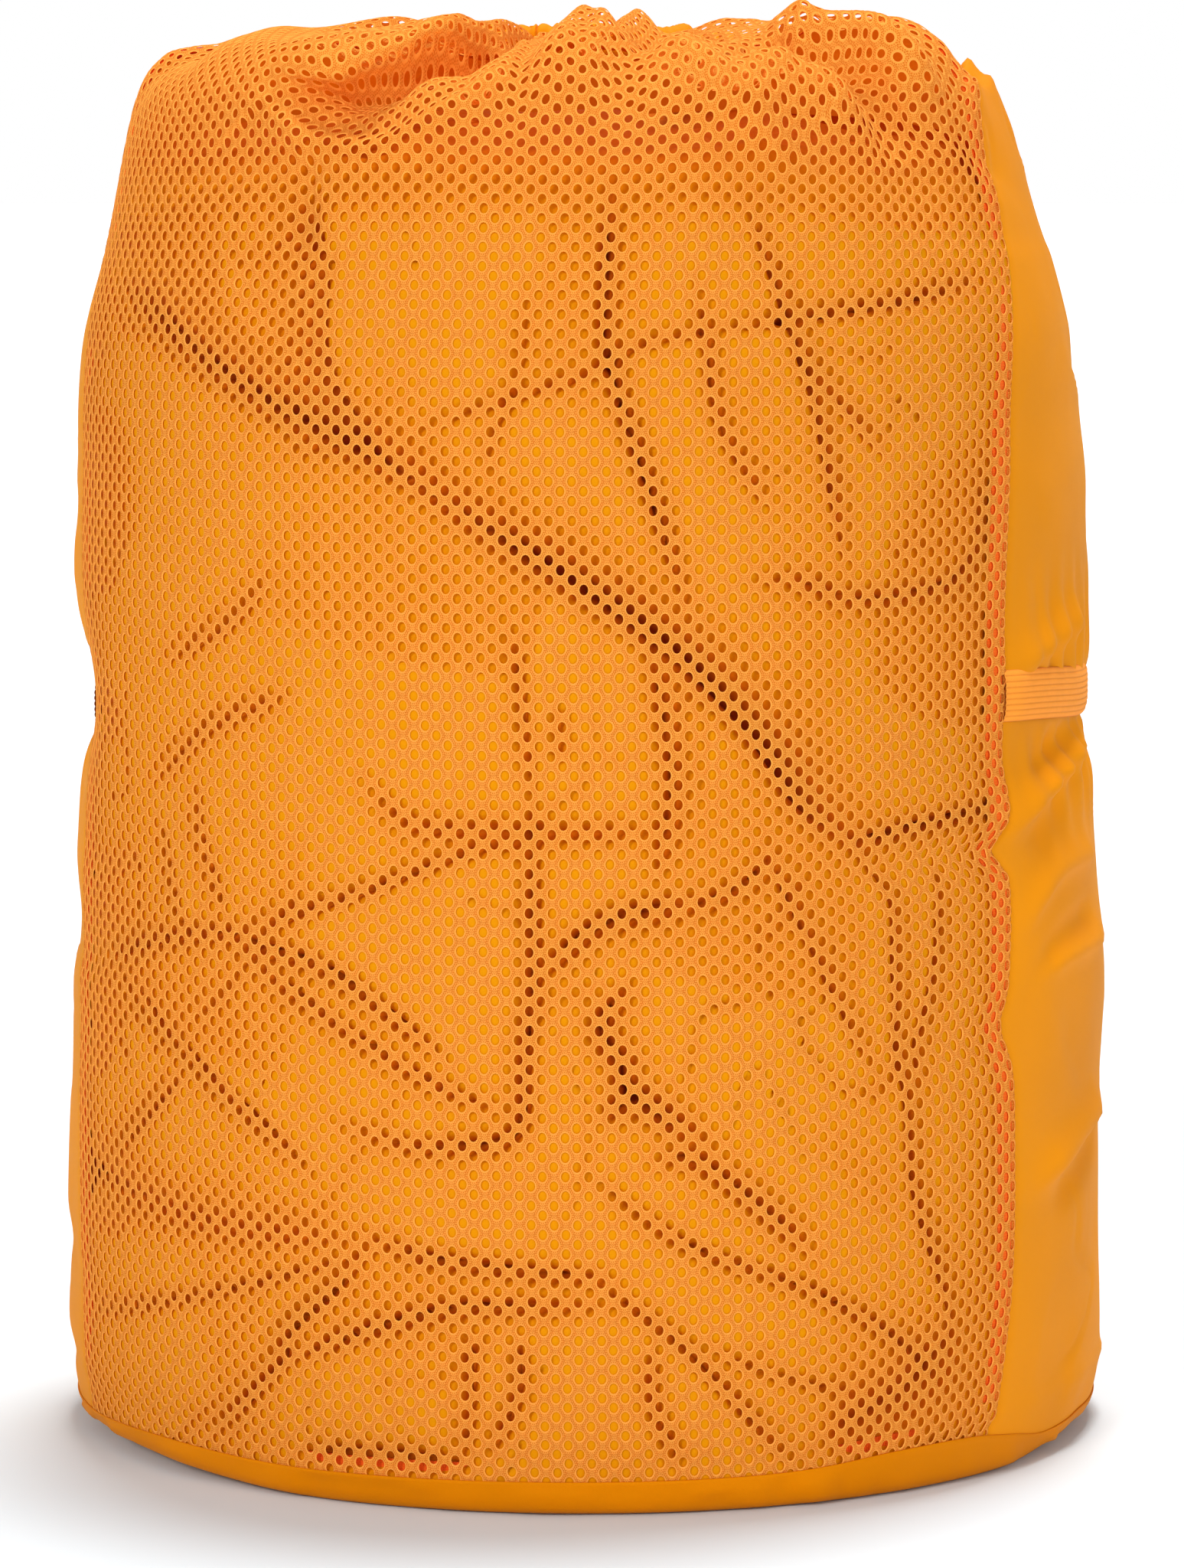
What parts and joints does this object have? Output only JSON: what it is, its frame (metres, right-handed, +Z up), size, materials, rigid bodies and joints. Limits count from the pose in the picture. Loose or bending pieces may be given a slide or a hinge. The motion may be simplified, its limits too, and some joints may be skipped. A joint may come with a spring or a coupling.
{
  "type": "stuff sack",
  "caption": "Tall round stuff sack with a mesh front, nylon back and base, elastic band across the back and a gathered drawcord mouth, stuffed with a sleeping bag.",
  "frame": {"origin": "on the floor, under the middle of the flat base", "axes": "+Z up along the sack; the mesh front faces -Y, and +X is to the right seen from the front"},
  "size_m": [0.4226, 0.423, 0.5595],
  "materials": {
    "mesh_knit": "matte warp-knit polyester mesh with round holes",
    "nylon": "plain-weave nylon with a soft sheen",
    "base_nylon": "plain-weave nylon with a soft sheen, a shade deeper",
    "binding_tape": "grosgrain seam binding",
    "elastic": "ribbed woven elastic",
    "thread": "polyester sewing thread",
    "cord": "round braided cord",
    "down_shell": "thin crumpled nylon shell"
  },
  "bodies": {
    "root": {"front_mesh_panel": "mesh_knit", "back_panel": "nylon", "base_panel": "base_nylon", "seam_binding_right": "binding_tape", "seam_binding_left": "binding_tape", "base_seam_binding": "binding_tape", "elastic_band": "elastic", "band_tack_right": "thread", "band_tack_left": "thread", "drawcord_channel": "nylon", "drawcord": "cord", "sleeping_bag": "down_shell"}
  },
  "joints": []
}
